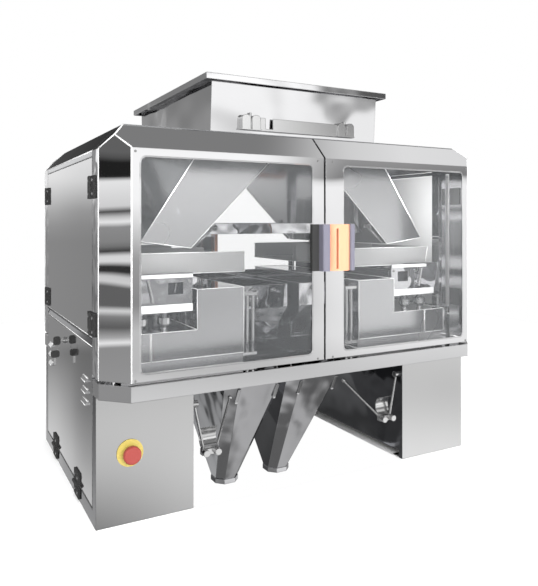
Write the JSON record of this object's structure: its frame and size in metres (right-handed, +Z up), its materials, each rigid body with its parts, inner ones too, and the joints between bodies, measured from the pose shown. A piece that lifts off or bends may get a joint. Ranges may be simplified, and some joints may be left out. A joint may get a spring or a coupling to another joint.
{
  "type": "linear weigher",
  "caption": "Two-legged stainless linear weigher: roof hopper, hinged windowed doors, feeder pans, weigh buckets with gates and discharge funnels below the deck.",
  "frame": {"origin": "centre of the footprint, level with the undersides of the legs, at the centre of the foot bolts", "axes": "+X to the right seen from the front, +Y to the rear, +Z up"},
  "size_m": [1.1245, 0.846, 1.115],
  "materials": {
    "satin_steel": "satin",
    "polished_steel": "polished",
    "roof_steel": "satin",
    "clear_acrylic": "clear",
    "black_nylon": "matte",
    "grey_handle": "satin",
    "orange_handle": "satin",
    "dark_castings": "painted",
    "yellow_plate": "satin",
    "red_button": "satin"
  },
  "bodies": {
    "machine": {"bucket_brackets": "polished_steel", "corner_posts": "satin_steel", "cross_beams": "polished_steel", "deck": "satin_steel", "feeder_pans": "polished_steel", "fixed_hinge_leaves": "black_nylon", "front_belt": "satin_steel", "funnel_tabs": "polished_steel", "gate_links": "polished_steel", "guide_rods": "polished_steel", "hopper": "satin_steel", "hopper_front_bar": "polished_steel", "left_chute": "satin_steel", "left_drive_housing": "satin_steel", "left_funnel": "polished_steel", "left_ledge": "satin_steel", "left_leg": "satin_steel", "left_side_panel": "satin_steel", "rear_belt": "satin_steel", "right_chute": "satin_steel", "right_drive_housing": "satin_steel", "right_funnel": "polished_steel", "right_ledge": "satin_steel", "right_leg": "satin_steel", "right_leg_cover": "satin_steel", "right_side_panel": "satin_steel", "roof": "roof_steel", "stop_plate": "yellow_plate", "vibrator_buffers": "polished_steel", "vibrator_frames": "polished_steel", "vibrator_magnets": "dark_castings", "weigh_buckets": "polished_steel"},
    "front_left_door": {"front_left_door_frame": "polished_steel", "front_left_door_window": "clear_acrylic", "front_left_door_handle": "grey_handle", "front_left_door_hinges": "black_nylon"},
    "front_right_door": {"front_right_door_frame": "polished_steel", "front_right_door_window": "clear_acrylic", "front_right_door_handle": "orange_handle", "front_right_door_hinges": "black_nylon"},
    "rear_left_door": {"rear_left_door_frame": "polished_steel", "rear_left_door_window": "clear_acrylic", "rear_left_door_handle": "grey_handle", "rear_left_door_hinges": "black_nylon"},
    "rear_right_door": {"rear_right_door_frame": "polished_steel", "rear_right_door_window": "clear_acrylic", "rear_right_door_handle": "orange_handle", "rear_right_door_hinges": "black_nylon"},
    "side_door": {"side_door_panel": "satin_steel", "side_door_hinges": "black_nylon", "side_door_lock": "polished_steel"},
    "stop_button": {"stop_button": "red_button"},
    "front_left_gate": {"front_left_gate": "polished_steel"},
    "front_right_gate": {"front_right_gate": "polished_steel"},
    "rear_left_gate": {"rear_left_gate": "polished_steel"},
    "rear_right_gate": {"rear_right_gate": "polished_steel"}
  },
  "joints": [
    {"name": "front_left_door_hinge", "type": "hinge", "parent": "machine", "child": "front_left_door", "pos_m": [-0.5445, -0.284, 0.59], "axis": [0, 0, -1], "range_deg": [0, 100]},
    {"name": "front_right_door_hinge", "type": "hinge", "parent": "machine", "child": "front_right_door", "pos_m": [0.5445, -0.284, 0.59], "axis": [0, 0, 1], "range_deg": [0, 100]},
    {"name": "rear_left_door_hinge", "type": "hinge", "parent": "machine", "child": "rear_left_door", "pos_m": [-0.5445, 0.284, 0.59], "axis": [0, 0, 1], "range_deg": [0, 100]},
    {"name": "rear_right_door_hinge", "type": "hinge", "parent": "machine", "child": "rear_right_door", "pos_m": [0.5445, 0.284, 0.59], "axis": [0, 0, -1], "range_deg": [0, 100]},
    {"name": "side_door_hinge", "type": "hinge", "parent": "machine", "child": "side_door", "pos_m": [-0.5445, 0, 0.0355], "axis": [0, -1, 0], "range_deg": [0, 90]},
    {"name": "stop_button_push", "type": "slide", "parent": "machine", "child": "stop_button", "axis": [0, 1, 0], "range_m": [0, 0.004], "stiffness_N_per_m": 1200, "springref_m": -0.002},
    {"name": "front_left_gate_hinge", "type": "hinge", "parent": "machine", "child": "front_left_gate", "pos_m": [-0.093, -0.19, 0.385], "axis": [-1, 0, 0], "range_deg": [0, 60]},
    {"name": "front_right_gate_hinge", "type": "hinge", "parent": "machine", "child": "front_right_gate", "pos_m": [0.093, -0.19, 0.385], "axis": [-1, 0, 0], "range_deg": [0, 60]},
    {"name": "rear_left_gate_hinge", "type": "hinge", "parent": "machine", "child": "rear_left_gate", "pos_m": [-0.093, 0.19, 0.385], "axis": [1, 0, 0], "range_deg": [0, 60]},
    {"name": "rear_right_gate_hinge", "type": "hinge", "parent": "machine", "child": "rear_right_gate", "pos_m": [0.093, 0.19, 0.385], "axis": [1, 0, 0], "range_deg": [0, 60]}
  ]
}
